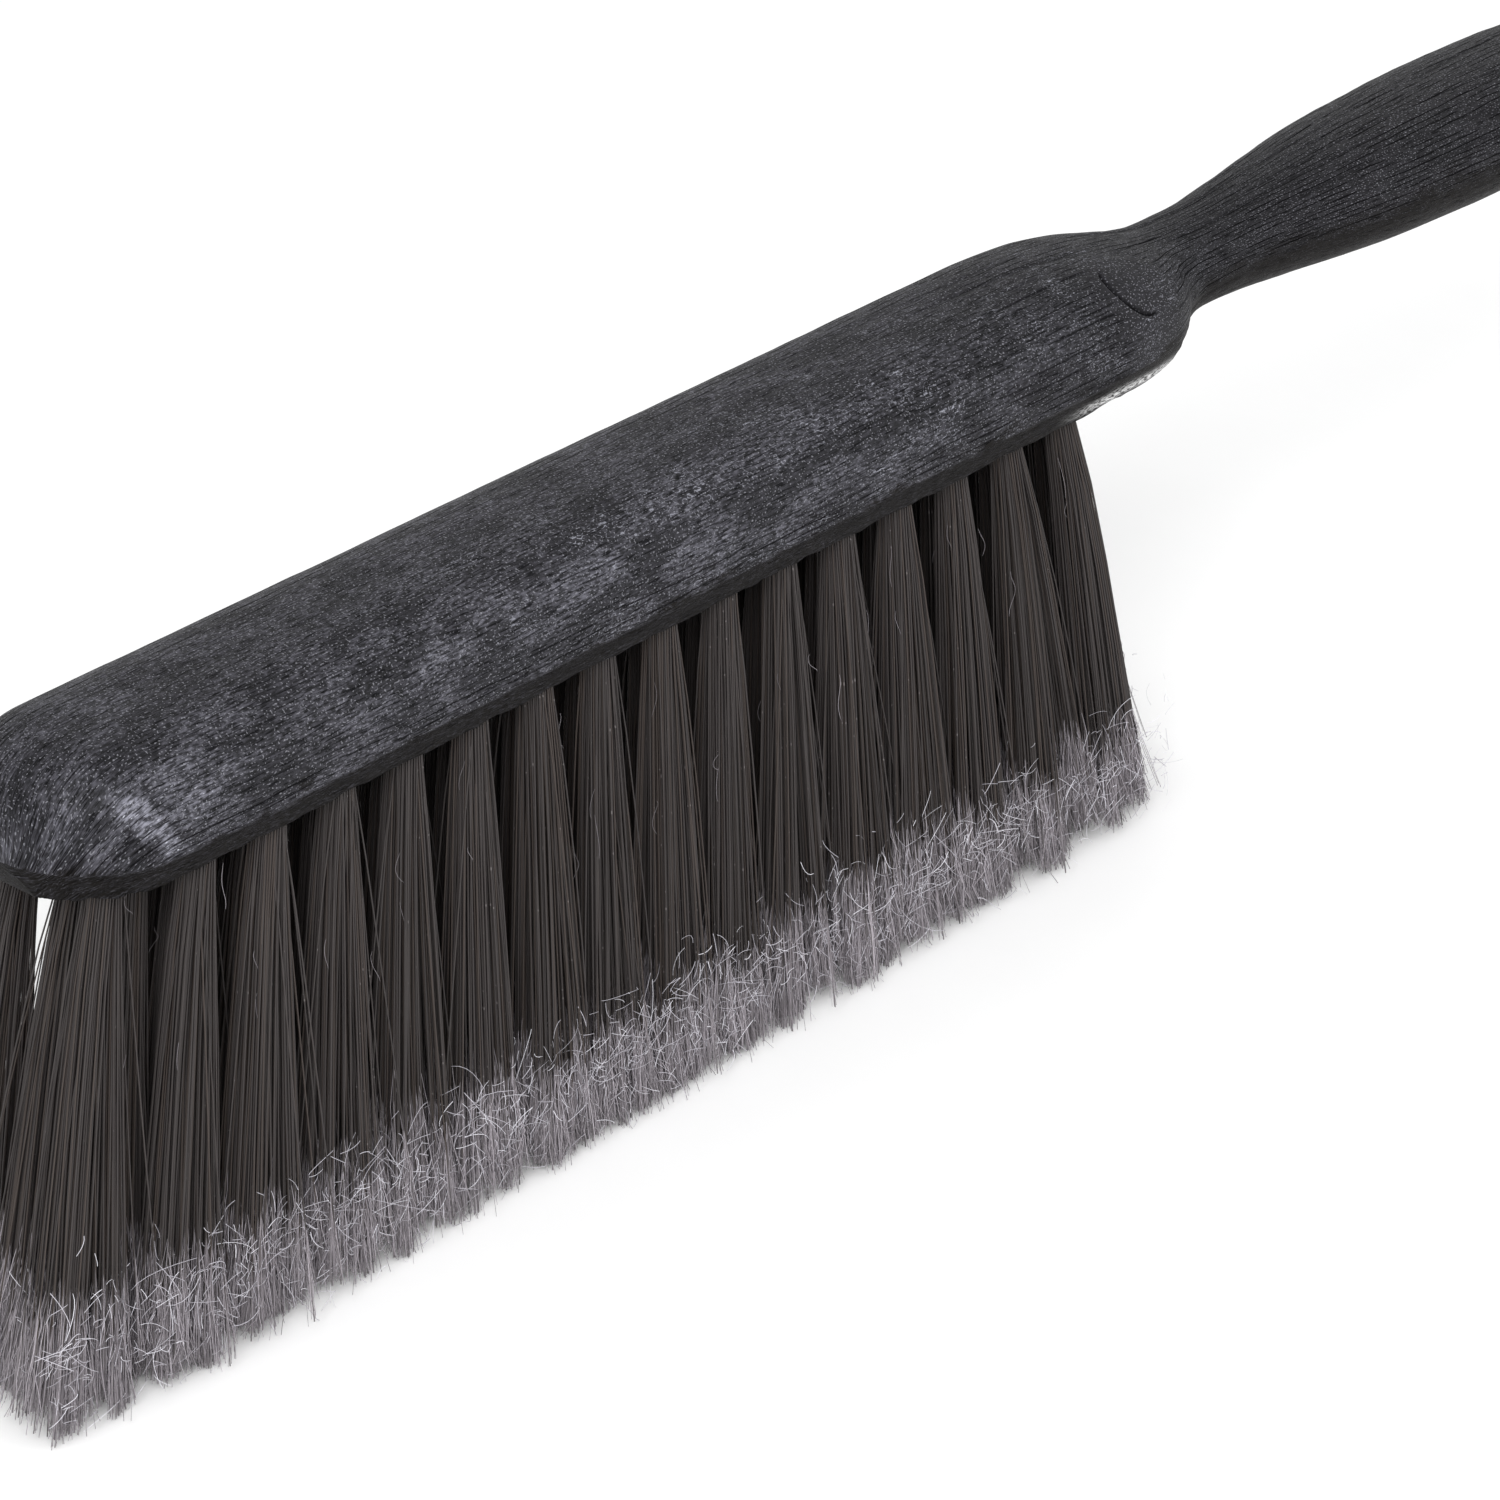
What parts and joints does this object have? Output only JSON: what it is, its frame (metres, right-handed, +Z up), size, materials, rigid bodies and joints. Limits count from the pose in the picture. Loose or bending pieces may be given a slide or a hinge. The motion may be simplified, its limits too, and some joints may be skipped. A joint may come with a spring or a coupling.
{
  "type": "bee brush",
  "caption": "Hand brush with a one-piece moulded plastic block and handle and staggered rows of soft, split-tipped bristle tufts, for sweeping bees off a comb.",
  "frame": {"origin": "on the plane that the bristle tips stand on, under the middle of the brush's box", "axes": "+X from the nose of the block to the end of the handle, +Z up from the bristle tips to the back of the block, +Y from the near side to the far side"},
  "size_m": [0.3604, 0.0346, 0.0872],
  "materials": {
    "block_plastic": "black structural-foam plastic with a moulded wood grain, satin, pale scuffs on the lower edges",
    "bristle_filament": "dark grey-brown extruded filament, satin, with pale split tips"
  },
  "bodies": {
    "root": {"block_and_handle": "block_plastic", "far_inner_tuft_01": "bristle_filament", "far_inner_tuft_02": "bristle_filament", "far_inner_tuft_03": "bristle_filament", "far_inner_tuft_04": "bristle_filament", "far_inner_tufts_05_06": "bristle_filament", "far_inner_tufts_07_08": "bristle_filament", "far_inner_tufts_09_10": "bristle_filament", "far_inner_tufts_11_12": "bristle_filament", "far_inner_tufts_13_14": "bristle_filament", "far_inner_tufts_15_16": "bristle_filament", "far_outer_tuft_01": "bristle_filament", "far_outer_tuft_02": "bristle_filament", "far_outer_tuft_03": "bristle_filament", "far_outer_tuft_04": "bristle_filament", "far_outer_tuft_05": "bristle_filament", "far_outer_tuft_06": "bristle_filament", "far_outer_tuft_07": "bristle_filament", "far_outer_tuft_08": "bristle_filament", "far_outer_tuft_09": "bristle_filament", "far_outer_tuft_10": "bristle_filament", "far_outer_tuft_11": "bristle_filament", "far_outer_tuft_12": "bristle_filament", "far_outer_tuft_13": "bristle_filament", "far_outer_tuft_14": "bristle_filament", "far_outer_tuft_15": "bristle_filament", "far_outer_tuft_16": "bristle_filament", "near_inner_tuft_01": "bristle_filament", "near_inner_tuft_02": "bristle_filament", "near_inner_tuft_03": "bristle_filament", "near_inner_tuft_04": "bristle_filament", "near_inner_tuft_05": "bristle_filament", "near_inner_tuft_06": "bristle_filament", "near_inner_tuft_07": "bristle_filament", "near_inner_tuft_08": "bristle_filament", "near_inner_tuft_09": "bristle_filament", "near_inner_tuft_10": "bristle_filament", "near_inner_tuft_11": "bristle_filament", "near_inner_tuft_12": "bristle_filament", "near_inner_tuft_13": "bristle_filament", "near_inner_tuft_14": "bristle_filament", "near_inner_tuft_15": "bristle_filament", "near_inner_tuft_16": "bristle_filament", "near_outer_tuft_01": "bristle_filament", "near_outer_tuft_02": "bristle_filament", "near_outer_tuft_03": "bristle_filament", "near_outer_tuft_04": "bristle_filament", "near_outer_tuft_05": "bristle_filament", "near_outer_tuft_06": "bristle_filament", "near_outer_tuft_07": "bristle_filament", "near_outer_tuft_08": "bristle_filament", "near_outer_tuft_09": "bristle_filament", "near_outer_tuft_10": "bristle_filament", "near_outer_tuft_11": "bristle_filament", "near_outer_tuft_12": "bristle_filament", "near_outer_tuft_13": "bristle_filament", "near_outer_tuft_14": "bristle_filament", "near_outer_tuft_15": "bristle_filament", "near_outer_tuft_16": "bristle_filament", "nose_tuft": "bristle_filament"}
  },
  "joints": []
}
